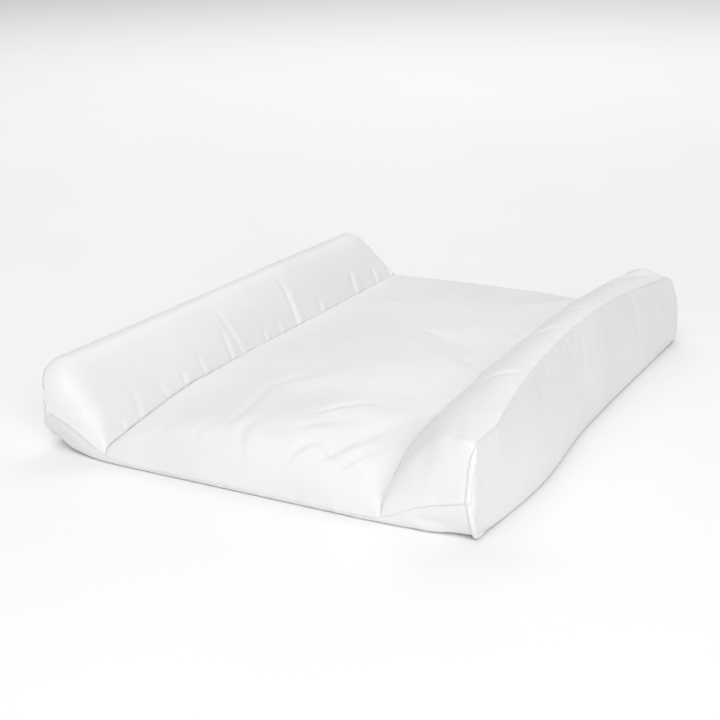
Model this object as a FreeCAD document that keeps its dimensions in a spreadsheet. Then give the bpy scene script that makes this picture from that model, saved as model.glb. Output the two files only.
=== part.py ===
"""A two-wedge changing pad: a sewn cover with a low filled middle between two foam side bolsters.

Frame: millimetres, +Z up, origin on the resting plane under the middle of the pad. X runs across the pad,
from the left bolster (-X) to the right one (+X). Y runs from the front end (-Y) to the back end (+Y), which
has the zip. Every size comes from the sheet "dims"; the sub-parts are bodies whose sketches and features
are bound to it. The cover is cut from panels one fabric thick that meet edge to edge at the seams:

    bottom panel     the floor, turned up at both ends as far as the end seams
    centre panel     the lying surface, crowned across and rounded down over both ends
    bolster panels   the inner slope, the ridge and both end faces of each side bolster
    side gussets     the flat outer walls, from the bottom edge to the top seam
    baffles          the webs under the two creases, which part the cover into three chambers
"""

import FreeCAD
import Part
import Sketcher
import os

V = FreeCAD.Vector

# ---------------------------------------------------------------- driving dimensions, in millimetres
DIMENSIONS = [
    ("half_width", 250.0, "outer face of a side gusset, from the middle"),
    ("front_y", 350.0, "front end face, forward of the origin"),
    ("back_y", 346.0, "back end face, behind the origin; the zip stands proud of it"),
    ("top_z", 100.0, "ridge of a bolster and top seam"),
    ("crease_x", 165.0, "crease between the middle and a bolster, from the middle"),
    ("crease_z", 40.0, "height of the crease"),
    ("crown", 7.0, "rise of the middle above the creases"),
    ("ridge_x", 226.0, "inner edge of the ridge, where the slope begins"),
    ("fabric", 1.0, "coated fabric with its backing"),
    ("front_seam_z", 20.0, "front end seam, above the floor"),
    ("floor_round", 6.0, "outer radius along the bottom edge of both ends"),
    ("front_nose", 24.0, "radius over the front end of the middle"),
    ("back_nose", 10.0, "radius over the back end of the middle"),
    ("ridge_round", 14.0, "radius of the ridge's inner edge"),
    ("end_round", 10.0, "radius round the end faces of a bolster"),
    ("fill_front_y", 341.0, "front end of the foam and wadding"),
    ("fill_back_y", 337.0, "back end of the foam and wadding"),
    ("fill_gap", 0.5, "room between one layer of the filling and the next"),
    ("side_gap", 2.0, "room beside the foam"),
    ("slab_thick", 20.0, "foam slab in the middle"),
    ("wadding", 4.0, "wadding wrap over a wedge"),
    ("fill_nose", 14.0, "radius of the wadding's front end in the middle"),
    ("fill_nose_back", 6.0, "radius of the wadding's back end in the middle"),
    ("welt_width", 5.0, "raised seam at a corner"),
    ("welt_proud", 1.5, "how far a corner seam stands off the end face"),
    ("welt_round", 1.2, "radius of its long edges"),
    ("welt_inset", 2.0, "corner seam, in from the outer face"),
    ("thread", 1.0, "diameter of a line of stitching"),
    ("seam_gap", 0.1, "room under a seam, and under a line of stitching"),
    ("zip_stitch_z", 3.5, "stitching beside the zip, beyond the fabric edge"),
    ("zip_z", 17.0, "middle of the zip"),
    ("zip_slot", 5.0, "half the gap between the fabric edges beside the zip"),
    ("zip_half", 216.0, "half the length of the coils"),
    ("tape_half", 248.0, "half the length of the tapes"),
    ("tape_thick", 0.8, "zip tape"),
    ("tape_reach", 11.0, "zip tape, from the middle of the zip to its far edge"),
    ("tape_edge", 0.4, "zip tape, from the middle of the zip to its near edge"),
    ("tape_gap", 0.2, "room between the tape and the fabric over it"),
    ("coil_near", 0.1, "coil, from the middle of the zip to its near side"),
    ("coil_wide", 2.3, "coil, across the zip"),
    ("coil_thick", 1.8, "coil, off the tape"),
    ("coil_round", 0.6, "radius along the coil's outer edges"),
    ("stop_long", 3.0, "end stop, along the zip"),
    ("stop_over", 0.2, "end stop, beyond the coil it closes on"),
    ("slider_x", 210.0, "slider when the zip is closed, from the middle"),
    ("slider_long", 11.0, "slider, along the zip"),
    ("slider_half", 4.0, "half the slider's width"),
    ("slider_plate", 1.2, "slider plates"),
    ("slider_gap", 0.4, "room between the slider and the coils"),
    ("plate_gap", 0.3, "room between the slider's edges and the tape"),
    ("bail_half", 3.0, "half the length of the slider's bail"),
    ("bail_wide", 0.8, "half the bail's width"),
    ("bail_foot", 1.0, "bail's feet, along the zip"),
    ("bail_bar", 0.8, "bail's bar, off the slider"),
    ("bail_room", 2.0, "height of the hole in the bail"),
    ("pivot_round", 0.7, "radius of the pull tab's cross bar"),
    ("tab_long", 24.0, "pull tab, from its cross bar to its free end"),
    ("tab_half", 3.2, "half the pull tab's width"),
    ("tab_thick", 1.2, "pull tab"),
    ("tab_window", 5.0, "window of the pull tab, from its cross bar"),
    ("tab_arm", 1.0, "arms beside that window"),
    ("tab_round", 2.4, "radius of the pull tab's free corners"),
]

# Slacks in millimetres for telling edges apart.
NO_DISTANCE = 1e-9
SAME_PLACE = 0.01
AT_HEIGHT = 0.5
SHORT_EDGE = 1
LONG_EDGE = 9
# A panel that has been hollowed out keeps less than this share of its solid.
HOLLOW_SHARE = 0.5

doc = FreeCAD.newDocument("changing_pad")
dims = doc.addObject("Spreadsheet::Sheet", "dims")


def fill_sheet():
    """Names each driving dimension and gives it its value and a note."""
    for row, (alias, value, note) in enumerate(DIMENSIONS, start=1):
        dims.set(f"A{row}", alias)
        dims.set(f"B{row}", str(value))
        dims.set(f"C{row}", note)
        dims.setAlias(f"B{row}", alias)
    doc.recompute()


class Dim(str):
    """An expression over the sheet, so that bodies can be written in plain arithmetic."""

    def __add__(self, other):
        return Dim(f"({self} + {other})")

    def __radd__(self, other):
        return Dim(f"({other} + {self})")

    def __sub__(self, other):
        return Dim(f"({self} - {other})")

    def __rsub__(self, other):
        return Dim(f"({other} - {self})")

    def __mul__(self, other):
        return Dim(f"({self} * {other})")

    def __rmul__(self, other):
        return Dim(f"({other} * {self})")

    def __truediv__(self, other):
        return Dim(f"({self} / {other})")

    def __neg__(self):
        return Dim(f"(0 - {self})")


def value_of(expression):
    """The number that an expression over the sheet gives now."""
    return float(dims.evalExpression(str(expression)))


fill_sheet()
D = {alias: Dim(f"dims.{alias}") for alias, _, _ in DIMENSIONS}

# ---------------------------------------------------------------- helpers for bodies, sketches and features


def new_body(name):
    body = doc.addObject("PartDesign::Body", name)
    body.Label = name
    return body


def origin_plane(body, role):
    """One of the body's own origin planes: XY_Plane, XZ_Plane or YZ_Plane."""
    return next(f for f in body.Origin.OriginFeatures if f.Role == role)


def new_sketch(body, name, role, offset=Dim("0")):
    """A sketch on one of the body's planes, moved along that plane's normal."""
    sketch = body.newObject("Sketcher::SketchObject", name)
    sketch.AttachmentSupport = [(origin_plane(body, role), "")]
    sketch.MapMode = "FlatFace"
    sketch.setExpression("AttachmentOffset.Base.z", str(offset))
    return sketch


def pin_point(sketch, geometry, point, across, up):
    """Holds a point of the sketch at two expressions, by distances from the sketch's origin."""
    for kind, expression, axis in (("DistanceX", across, -2), ("DistanceY", up, -1)):
        value = value_of(expression)
        if abs(value) < NO_DISTANCE:
            sketch.addConstraint(Sketcher.Constraint("PointOnObject", geometry, point, axis))
            continue
        index = sketch.addConstraint(Sketcher.Constraint(kind, -1, 1, geometry, point, value))
        label = f"{kind[-1].lower()}{geometry}"
        sketch.renameConstraint(index, label)
        sketch.setExpression(f"Constraints.{label}", str(expression))


def draw_polygon(sketch, corners, arc_after=None, sagitta=None):
    """Closes a polygon through corners given as pairs of expressions. The side after corner arc_after may be
    an arc that rises by sagitta over its chord, which is centred over the sketch's origin."""
    points = [V(value_of(a), value_of(b), 0) for a, b in corners]
    first = sketch.GeometryCount
    count = len(points)
    for i, start in enumerate(points):
        end = points[(i + 1) % count]
        if i != arc_after:
            sketch.addGeometry(Part.LineSegment(start, end), False)
            continue
        rise = V(0, value_of(sagitta), 0)
        sketch.addGeometry(Part.Arc(start, (start + end) / 2 + rise, end), False)
    ends = []
    for i in range(count):
        # A sketch keeps every arc counter-clockwise, so its start is whichever end lies on the right.
        turned = i == arc_after and points[i].x < points[(i + 1) % count].x
        ends.append((2, 1) if turned else (1, 2))
    for i in range(count):
        after = (i + 1) % count
        join = (first + i, ends[i][1], first + after, ends[after][0])
        sketch.addConstraint(Sketcher.Constraint("Coincident", *join))
        pin_point(sketch, first + i, ends[i][0], *corners[i])
    if arc_after is not None:
        arc = first + arc_after
        half = abs(value_of(corners[arc_after][0]))
        chord_half = f"abs({corners[arc_after][0]})"
        radius = f"({chord_half} * {chord_half} + {sagitta} * {sagitta}) / (2 * {sagitta})"
        start_radius = (half**2 + value_of(sagitta) ** 2) / (2 * value_of(sagitta))
        index = sketch.addConstraint(Sketcher.Constraint("Radius", arc, start_radius))
        sketch.renameConstraint(index, "arc_radius")
        sketch.setExpression("Constraints.arc_radius", radius)


def rectangle(low_x, low_y, high_x, high_y):
    """The corners of a rectangle, as expressions."""
    return [(low_x, low_y), (high_x, low_y), (high_x, high_y), (low_x, high_y)]


def pad(body, sketch, length, symmetric=False):
    feature = body.newObject("PartDesign::Pad", f"{sketch.Name}_pad")
    feature.Profile = sketch
    if symmetric:
        feature.SideType = "Symmetric"
    feature.setExpression("Length", str(length))
    doc.recompute()
    return feature


def pocket_through(body, sketch):
    """Cuts the sketch through the whole body, both ways from its plane, and checks that it cut something."""
    before = body.Shape.Volume
    feature = body.newObject("PartDesign::Pocket", f"{sketch.Name}_cut")
    feature.Profile = sketch
    feature.SideType = "Two sides"
    feature.Type = "ThroughAll"
    feature.Type2 = "ThroughAll"
    doc.recompute()
    if body.Shape.Volume >= before - 1e-6:
        raise RuntimeError(f"{sketch.Name} cut nothing")
    return feature


def edges_where(feature, test):
    """Names of the feature's edges whose bounding box passes the test."""
    edges = enumerate(feature.Shape.Edges, start=1)
    return [f"Edge{i}" for i, edge in edges if test(edge.BoundBox)]


def fillet(body, base, radius, test):
    names = edges_where(base, test)
    if not names:
        raise RuntimeError(f"no edge of {base.Name} to round")
    feature = body.newObject("PartDesign::Fillet", f"{base.Name}_round")
    feature.Base = (base, names)
    feature.setExpression("Radius", str(radius))
    doc.recompute()
    return feature


def hollow(body, sketch, length):
    """Cuts the sketch's section out of the body along Y, forward from the sketch, and checks that it cut."""
    before = body.Shape.Volume
    feature = body.newObject("PartDesign::Pocket", f"{sketch.Name}_hollow")
    feature.Profile = sketch
    feature.Reversed = True
    feature.setExpression("Length", str(length))
    doc.recompute()
    if body.Shape.Volume > HOLLOW_SHARE * before:
        raise RuntimeError(f"{sketch.Name} cut too little")
    return feature


def near(value, expression):
    return abs(value - value_of(expression)) < SAME_PLACE


def at_x(x):
    """A test for what lies in one plane across X."""
    return lambda box: near(box.XMin, x) and near(box.XMax, x)


def at_y(y):
    return lambda box: near(box.YMin, y) and near(box.YMax, y)


def block(name, low, high):
    """A plain box between two corners given as expressions."""
    body = new_body(name)
    sketch = new_sketch(body, f"{name}_plan", "XY_Plane", low[2])
    draw_polygon(sketch, rectangle(low[0], low[1], high[0], high[1]))
    pad(body, sketch, high[2] - low[2])
    return body


def spanned(side, near_x, far_x):
    """Two distances from the middle as a low and a high X on one side, +1 or -1."""
    return (near_x, far_x) if side > 0 else (-far_x, -near_x)


# ---------------------------------------------------------------- sizes worked out from the sheet
wall_x = D["half_width"] - D["fabric"]
slope = (D["top_z"] - D["crease_z"]) / (D["ridge_x"] - D["crease_x"])
slope_stretch = Dim(f"sqrt(1 + {slope} * {slope})")
length_y = D["front_y"] + D["back_y"]
fill_x = D["crease_x"] - D["side_gap"]
fill_length = D["fill_front_y"] + D["fill_back_y"]
fill_floor = D["fabric"] + D["fill_gap"]
slab_top = fill_floor + D["slab_thick"]
wrap_outer = D["fabric"] + D["fill_gap"]
wrap_inner = wrap_outer + D["wadding"]
foam_inset = wrap_inner + D["fill_gap"]
tape_front_y = D["back_y"] - D["fabric"] - D["tape_gap"]
tape_back_y = tape_front_y - D["tape_thick"]
coil_front_y = tape_front_y + D["coil_thick"]
plate_y = coil_front_y + D["slider_gap"]
plate_front_y = plate_y + D["slider_plate"]
pivot_y = plate_front_y + D["bail_room"] / 2


def slope_height(x, inset):
    """Height at x of the bolster's slope, moved into the bolster by inset."""
    return D["crease_z"] + (x - D["crease_x"]) * slope - inset * slope_stretch


def slope_across(z, inset):
    """Distance from the middle at height z of the slope, moved into the bolster by inset."""
    return D["crease_x"] + (z - D["crease_z"] + inset * slope_stretch) / slope


# ---------------------------------------------------------------- cover


def build_bottom_panel():
    """The floor, turned up at the front to the end seam and at the back to the zip."""
    body = new_body("bottom_panel")
    sketch = new_sketch(body, "bottom_panel_profile", "YZ_Plane")
    front = -D["front_y"]
    back = D["back_y"]
    back_edge = D["zip_z"] - D["zip_slot"]
    corners = [
        (front, Dim("0")),
        (back, Dim("0")),
        (back, back_edge),
        (back - D["fabric"], back_edge),
        (back - D["fabric"], D["fabric"]),
        (front + D["fabric"], D["fabric"]),
        (front + D["fabric"], D["front_seam_z"]),
        (front, D["front_seam_z"]),
    ]
    draw_polygon(sketch, corners)
    floor = pad(body, sketch, 2 * wall_x, symmetric=True)
    half_long = value_of(wall_x)

    def along_x_at(z):
        return lambda box: (
            near(box.ZMax, z)
            and near(box.ZMin, z)
            and box.XMax - box.XMin > half_long
            and abs(box.YMin) > half_long
        )

    outer = fillet(body, floor, D["floor_round"], along_x_at(Dim("0")))
    fillet(body, outer, D["floor_round"] - D["fabric"], along_x_at(D["fabric"]))


def trim_ends(body, name):
    """Takes a top panel away below the front end seam and below the upper edge of the zip."""
    sketch = new_sketch(body, f"{name}_trim", "YZ_Plane")
    below = -D["fabric"]
    deep = D["front_nose"] + D["fabric"]
    front_out = -D["front_y"] - D["fabric"]
    back_out = D["back_y"] + D["fabric"]
    front_in = front_out + deep
    back_in = back_out - deep
    draw_polygon(sketch, rectangle(front_out, below, front_in, D["front_seam_z"]))
    draw_polygon(sketch, rectangle(back_in, below, back_out, D["zip_z"] + D["zip_slot"]))
    pocket_through(body, sketch)


def crowned_profile(body, name, half, low, high, back_y):
    """Sketch of a slab across the middle whose top is an arc over its two upper corners."""
    sketch = new_sketch(body, f"{name}_profile", "XZ_Plane", -back_y)
    corners = [(half, low), (half, high), (-half, high), (-half, low)]
    draw_polygon(sketch, corners, arc_after=1, sagitta=D["crown"])
    return sketch


def round_end(body, base, y, low_z, radius):
    """Rounds the upper edges of one end, which all lie above low_z."""
    return fillet(body, base, radius, lambda box: at_y(y)(box) and box.ZMin > value_of(low_z) - AT_HEIGHT)


def build_centre_panel():
    """The lying surface: crowned between the creases and rounded down over both ends."""
    name = "centre_top_panel"
    body = new_body(name)
    thick = D["fabric"]
    high = D["crease_z"]
    under = high - thick
    outside = crowned_profile(body, name, D["crease_x"], Dim("0"), high, D["back_y"])
    pad(body, outside, length_y)
    inside = crowned_profile(body, f"{name}_inner", D["crease_x"], -thick, under, D["back_y"] - thick)
    panel = hollow(body, inside, length_y - 2 * thick)
    panel = round_end(body, panel, thick - D["front_y"], under, D["front_nose"] - thick)
    panel = round_end(body, panel, D["back_y"] - thick, under, D["back_nose"] - thick)
    panel = round_end(body, panel, -D["front_y"], high, D["front_nose"])
    round_end(body, panel, D["back_y"], high, D["back_nose"])
    trim_ends(body, name)


def bolster_profile(body, name, side, inset, back_y):
    """Sketch of a bolster's section from the crease to the gusset, moved inwards by inset."""
    sketch = new_sketch(body, f"{name}_profile", "XZ_Plane", -back_y)
    low = -inset
    top = D["top_z"] - inset
    corners = [
        (side * D["crease_x"], low),
        (side * wall_x, low),
        (side * wall_x, top),
        (side * slope_across(top, inset), top),
        (side * D["crease_x"], slope_height(D["crease_x"], inset)),
    ]
    draw_polygon(sketch, corners)
    return sketch


def build_bolster_panel(side_name, side):
    """The slope, ridge and end faces of one bolster, open below, outside and towards the middle."""
    name = f"{side_name}_bolster_panel"
    body = new_body(name)
    thick = D["fabric"]
    outside = bolster_profile(body, name, side, Dim("0"), D["back_y"])
    pad(body, outside, length_y)
    inside = bolster_profile(body, f"{name}_inner", side, thick, D["back_y"] - thick)
    panel = hollow(body, inside, length_y - 2 * thick)
    for inset in (thick, Dim("0")):
        top = D["top_z"] - inset
        ridge_x = side * slope_across(top, inset)
        ridge_z = value_of(top)
        panel = fillet(
            body,
            panel,
            D["ridge_round"] - inset,
            lambda box, x=ridge_x, low_z=ridge_z - AT_HEIGHT: at_x(x)(box) and box.ZMin > low_z,
        )
    for inset in (thick, Dim("0")):
        low_z = slope_height(D["crease_x"], inset)
        panel = round_end(body, panel, inset - D["front_y"], low_z, D["end_round"] - inset)
        panel = round_end(body, panel, D["back_y"] - inset, low_z, D["end_round"] - inset)
    trim_ends(body, name)


def build_side_gusset(side_name, side):
    """One flat outer wall, with its upper corners rounded like the bolster's end faces."""
    name = f"{side_name}_side_gusset"
    body = new_body(name)
    low, high = spanned(side, wall_x, D["half_width"])
    sketch = new_sketch(body, f"{name}_outline", "YZ_Plane", low)
    draw_polygon(sketch, rectangle(-D["front_y"], Dim("0"), D["back_y"], D["top_z"]))
    wall = pad(body, sketch, high - low)
    top = value_of(D["top_z"])
    fillet(body, wall, D["end_round"], lambda box: box.ZMin > top - SHORT_EDGE and box.YLength < SHORT_EDGE)


def build_baffle(side_name, side):
    """The web under one crease, from the floor to the seam, rounded to fit under the front nose."""
    half = D["fabric"] / 2
    low_x, high_x = spanned(side, D["crease_x"] - half, D["crease_x"] + half)
    seam_z = slope_height(D["crease_x"] - half, D["fabric"]) - D["seam_gap"]
    name = f"{side_name}_baffle"
    body = block(name, (low_x, -D["fill_front_y"], D["fabric"]), (high_x, D["fill_back_y"], seam_z))
    round_end(body, body.Tip, -D["fill_front_y"], seam_z, D["fill_nose"])


def build_corner_welt(end_name, end, side_name, side):
    """The raised seam where a gusset, a bolster panel and the bottom panel are sewn together."""
    name = f"{end_name}_{side_name}_corner_welt"
    body = new_body(name)
    outer = wall_x - D["welt_inset"]
    low_x, high_x = spanned(side, outer - D["welt_width"], outer)
    face = D["back_y"] if end > 0 else -D["front_y"]
    proud = face + end * D["welt_proud"]
    low_y, high_y = (face, proud) if end > 0 else (proud, face)
    sketch = new_sketch(body, f"{name}_plan", "XY_Plane", D["floor_round"])
    draw_polygon(sketch, rectangle(low_x, low_y, high_x, high_y))
    strip = pad(body, sketch, D["top_z"] - D["end_round"] - D["floor_round"])
    fillet(body, strip, D["welt_round"], lambda box: at_y(proud)(box) and box.XLength < SAME_PLACE)


# ---------------------------------------------------------------- stitching


def build_stitch_line(name, role, across, up, start, length):
    """One line of stitching as a round bead, drawn in a plane and padded along its normal."""
    body = new_body(name)
    sketch = new_sketch(body, f"{name}_section", role, start)
    radius = value_of(D["thread"]) / 2
    centre = V(value_of(across), value_of(up), 0)
    sketch.addGeometry(Part.Circle(centre, V(0, 0, 1), radius), False)
    pin_point(sketch, 0, 3, across, up)
    index = sketch.addConstraint(Sketcher.Constraint("Radius", 0, radius))
    sketch.renameConstraint(index, "bead_radius")
    sketch.setExpression("Constraints.bead_radius", str(D["thread"] / 2))
    pad(body, sketch, length)


def build_long_stitching(side_name, side):
    """The crease seam, which lies in the notch between two panels, and the top seam on the ridge."""
    rise = D["thread"] / 2 + D["seam_gap"]
    crease_up = D["crease_z"] + rise * slope_stretch
    ridge_x = wall_x - D["welt_inset"]
    seams = [
        ("crease", D["crease_x"], crease_up, D["front_nose"], D["back_nose"]),
        ("top", ridge_x, D["top_z"] + rise, D["end_round"], D["end_round"]),
    ]
    for seam, across, up, front_in, back_in in seams:
        name = f"{side_name}_{seam}_stitching"
        start = back_in - D["back_y"]
        build_stitch_line(name, "XZ_Plane", side * across, up, start, length_y - front_in - back_in)


def build_end_stitching():
    """The front end seam, and the rows that hold the zip, all between the corner welts."""
    half = wall_x - 2 * D["welt_inset"] - D["welt_width"]
    rise = D["thread"] / 2 + D["seam_gap"]
    row = D["zip_slot"] + D["zip_stitch_z"]
    lines = [
        ("front_seam_stitching", -D["front_y"] - rise, D["front_seam_z"]),
        ("zip_upper_stitching", D["back_y"] + rise, D["zip_z"] + row),
        ("zip_lower_stitching", D["back_y"] + rise, D["zip_z"] - row),
    ]
    for name, across, up in lines:
        build_stitch_line(name, "YZ_Plane", across, up, -half, 2 * half)


# ---------------------------------------------------------------- filling


def build_centre_filling():
    """The foam slab of the middle chamber and the wadding that lies on it under the cover."""
    block(
        "centre_foam_slab",
        (-fill_x, -D["fill_front_y"], fill_floor),
        (fill_x, D["fill_back_y"], slab_top),
    )
    body = new_body("centre_wadding")
    low = slab_top + D["fill_gap"]
    high = D["crease_z"] - 2 * D["fabric"] - D["fill_gap"]
    sketch = crowned_profile(body, "centre_wadding", fill_x, low, high, D["fill_back_y"])
    slab = pad(body, sketch, fill_length)
    front = round_end(body, slab, -D["fill_front_y"], high, D["fill_nose"])
    round_end(body, front, D["fill_back_y"], high, D["fill_nose_back"])


def build_wedge_filling(side_name, side):
    """The foam wedge of one bolster and the wadding wrap over its slope and ridge."""
    near_x = D["crease_x"] + D["side_gap"]
    far_x = wall_x - D["side_gap"]
    foam_top = D["top_z"] - foam_inset
    foam = [
        (side * near_x, fill_floor),
        (side * far_x, fill_floor),
        (side * far_x, foam_top),
        (side * slope_across(foam_top, foam_inset), foam_top),
        (side * near_x, slope_height(near_x, foam_inset)),
    ]
    wrap_top = D["top_z"] - wrap_outer
    wrap_low = D["top_z"] - wrap_inner
    wrap = [
        (side * near_x, slope_height(near_x, wrap_outer)),
        (side * slope_across(wrap_top, wrap_outer), wrap_top),
        (side * far_x, wrap_top),
        (side * far_x, wrap_low),
        (side * slope_across(wrap_low, wrap_inner), wrap_low),
        (side * near_x, slope_height(near_x, wrap_inner)),
    ]
    rounds = {
        "wedge_foam": [(slope_across(foam_top, foam_inset), foam_top, D["ridge_round"] - foam_inset)],
        "wedge_wadding": [
            (slope_across(wrap_top, wrap_outer), wrap_top, D["ridge_round"] - wrap_outer),
            (slope_across(wrap_low, wrap_inner), wrap_low, D["ridge_round"] - wrap_inner),
        ],
    }
    for kind, outline in (("wedge_foam", foam), ("wedge_wadding", wrap)):
        name = f"{side_name}_{kind}"
        body = new_body(name)
        sketch = new_sketch(body, f"{name}_profile", "XZ_Plane", -D["fill_back_y"])
        draw_polygon(sketch, outline)
        feature = pad(body, sketch, fill_length)
        for x, z, radius in rounds[kind]:
            edge_x = side * x
            feature = fillet(
                body,
                feature,
                radius,
                lambda box, edge_x=edge_x, z=z: at_x(edge_x)(box) and near(box.ZMin, z) and near(box.ZMax, z),
            )


# ---------------------------------------------------------------- zip


def build_zip_tapes_and_coils():
    """Two woven tapes behind the fabric edges, each with its nylon coil facing out through the slot."""
    for name, turn in (("upper", 1), ("lower", -1)):
        edges = [D["zip_z"] + turn * D["tape_edge"], D["zip_z"] + turn * D["tape_reach"]]
        low_z, high_z = edges if turn > 0 else edges[::-1]
        block(
            f"zip_{name}_tape",
            (-D["tape_half"], tape_back_y, low_z),
            (D["tape_half"], tape_front_y, high_z),
        )
        body = new_body(f"zip_{name}_coil")
        edges = [D["zip_z"] + turn * D["coil_near"], D["zip_z"] + turn * (D["coil_near"] + D["coil_wide"])]
        low_z, high_z = edges if turn > 0 else edges[::-1]
        sketch = new_sketch(body, f"zip_{name}_coil_section", "YZ_Plane")
        draw_polygon(sketch, rectangle(tape_front_y, low_z, coil_front_y, high_z))
        bar = pad(body, sketch, 2 * D["zip_half"], symmetric=True)
        fillet(body, bar, D["coil_round"], lambda box: at_y(coil_front_y)(box) and box.XLength > LONG_EDGE)


def box_object(name, low, high):
    """A Part::Box between two corners given as expressions."""
    box = doc.addObject("Part::Box", name)
    for size, i in (("Length", 0), ("Width", 1), ("Height", 2)):
        box.setExpression(size, str(high[i] - low[i]))
    for axis, i in (("x", 0), ("y", 1), ("z", 2)):
        box.setExpression(f"Placement.Base.{axis}", str(low[i]))
    return box


def build_zip_stops():
    """Two top stops, one on each coil, and one bottom stop across both."""
    z = D["zip_z"]
    gap = D["coil_near"]
    reach = D["coil_near"] + D["coil_wide"] + D["stop_over"]
    beyond = D["zip_half"] + D["slider_gap"]
    front = coil_front_y + D["stop_over"]
    long = D["stop_long"]
    stops = [
        box_object("upper_top_stop", (beyond, tape_front_y, z + gap), (beyond + long, front, z + reach)),
        box_object("lower_top_stop", (beyond, tape_front_y, z - reach), (beyond + long, front, z - gap)),
        box_object("bottom_stop", (-beyond - long, tape_front_y, z - reach), (-beyond, front, z + reach)),
    ]
    group = doc.addObject("Part::Compound", "zip_stops")
    group.Links = stops
    group.Label = "zip_stops"


def build_zip_slider():
    """Front plate with its two flanges and the bail on it, and the back plate behind the tapes."""
    x = D["slider_x"]
    z = D["zip_z"]
    half = D["slider_long"] / 2
    flange_in = D["coil_near"] + D["coil_wide"] + D["slider_gap"]
    flange_y = tape_front_y + D["plate_gap"]
    back_face = tape_back_y - D["plate_gap"]
    bail_top = plate_front_y + D["bail_room"]
    pieces = [
        box_object(
            "slider_front_plate",
            (x - half, plate_y, z - D["slider_half"]),
            (x + half, plate_front_y, z + D["slider_half"]),
        ),
        box_object(
            "slider_bail_bar",
            (x - D["bail_half"], bail_top, z - D["bail_wide"]),
            (x + D["bail_half"], bail_top + D["bail_bar"], z + D["bail_wide"]),
        ),
    ]
    for turn in (1, -1):
        edges = [z + turn * flange_in, z + turn * D["slider_half"]]
        low_z, high_z = edges if turn > 0 else edges[::-1]
        pieces.append(
            box_object(
                "slider_upper_flange" if turn > 0 else "slider_lower_flange",
                (x - half, flange_y, low_z),
                (x + half, plate_y, high_z),
            )
        )
        foot = [x + turn * (D["bail_half"] - D["bail_foot"]), x + turn * D["bail_half"]]
        low_x, high_x = foot if turn > 0 else foot[::-1]
        pieces.append(
            box_object(
                "slider_bail_right_foot" if turn > 0 else "slider_bail_left_foot",
                (low_x, plate_front_y, z - D["bail_wide"]),
                (high_x, bail_top, z + D["bail_wide"]),
            )
        )
    back_plate = box_object(
        "slider_back_plate",
        (x - half, back_face - D["slider_plate"], z - D["slider_half"]),
        (x + half, back_face, z + D["slider_half"]),
    )
    front = doc.addObject("Part::MultiFuse", "slider_front")
    front.Shapes = pieces
    front.Refine = True
    whole = doc.addObject("Part::Compound", "zip_slider")
    whole.Links = [front, back_plate]
    whole.Label = "zip_slider"


def build_zip_pull_tab():
    """A flat tab with a window at its inner end, whose cross bar runs through the slider's bail."""
    x = D["slider_x"]
    z = D["zip_z"]
    low_y = pivot_y - D["tab_thick"] / 2
    high_y = pivot_y + D["tab_thick"] / 2
    plate = box_object(
        "tab_plate",
        (x - D["tab_long"], low_y, z - D["tab_half"]),
        (x - D["tab_window"], high_y, z + D["tab_half"]),
    )
    arms = []
    for turn in (1, -1):
        edges = [z + turn * (D["tab_half"] - D["tab_arm"]), z + turn * D["tab_half"]]
        low_z, high_z = edges if turn > 0 else edges[::-1]
        name = "tab_upper_arm" if turn > 0 else "tab_lower_arm"
        arms.append(box_object(name, (x - D["tab_window"], low_y, low_z), (x, high_y, high_z)))
    bar = doc.addObject("Part::Cylinder", "tab_cross_bar")
    bar.setExpression("Radius", str(D["pivot_round"]))
    bar.setExpression("Height", str(2 * D["tab_half"]))
    bar.setExpression("Placement.Base.x", str(x))
    bar.setExpression("Placement.Base.y", str(pivot_y))
    bar.setExpression("Placement.Base.z", str(z - D["tab_half"]))
    joined = doc.addObject("Part::MultiFuse", "tab_joined")
    joined.Shapes = [plate, *arms, bar]
    doc.recompute()
    free_x = value_of(x - D["tab_long"])
    corners = [
        i
        for i, edge in enumerate(joined.Shape.Edges, start=1)
        if edge.BoundBox.XMax < free_x + SAME_PLACE and edge.BoundBox.ZLength < SAME_PLACE
    ]
    rounded = doc.addObject("Part::Fillet", "zip_pull_tab")
    rounded.Base = joined
    radius = value_of(D["tab_round"])
    rounded.Edges = [(i, radius, radius) for i in corners]
    rounded.Label = "zip_pull_tab"


# ---------------------------------------------------------------- assembly and export
SIDES = (("left", -1), ("right", 1))
ENDS = (("front", -1), ("back", 1))


def build_all():
    build_bottom_panel()
    build_centre_panel()
    for side_name, side in SIDES:
        build_bolster_panel(side_name, side)
        build_side_gusset(side_name, side)
        build_baffle(side_name, side)
        build_long_stitching(side_name, side)
        build_wedge_filling(side_name, side)
        for end_name, end in ENDS:
            build_corner_welt(end_name, end, side_name, side)
    build_end_stitching()
    build_centre_filling()
    build_zip_tapes_and_coils()
    build_zip_stops()
    build_zip_slider()
    build_zip_pull_tab()
    doc.recompute()


def sub_parts():
    """The objects that are exported: every body, and the finished Part objects by label."""
    loose = ("zip_stops", "zip_slider", "zip_pull_tab")
    return [o for o in doc.Objects if o.TypeId == "PartDesign::Body" or o.Name in loose]


def check_model():
    for o in doc.Objects:
        if "Invalid" in o.State or "Error" in o.State:
            raise RuntimeError(f"{o.Name} failed to build: {o.State}")
    for o in sub_parts():
        if o.Shape.isNull() or not o.Shape.isValid() or not o.Shape.Solids:
            raise RuntimeError(f"{o.Label} has no valid solid")


def export_parts():
    os.makedirs("parts", exist_ok=True)
    for o in sub_parts():
        o.Shape.exportStep(f"parts/{o.Label}.step")
        print(f"{o.Label}: {len(o.Shape.Solids)} solid(s), {o.Shape.Volume / 1000:.2f} cm3")


build_all()
check_model()
export_parts()
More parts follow.
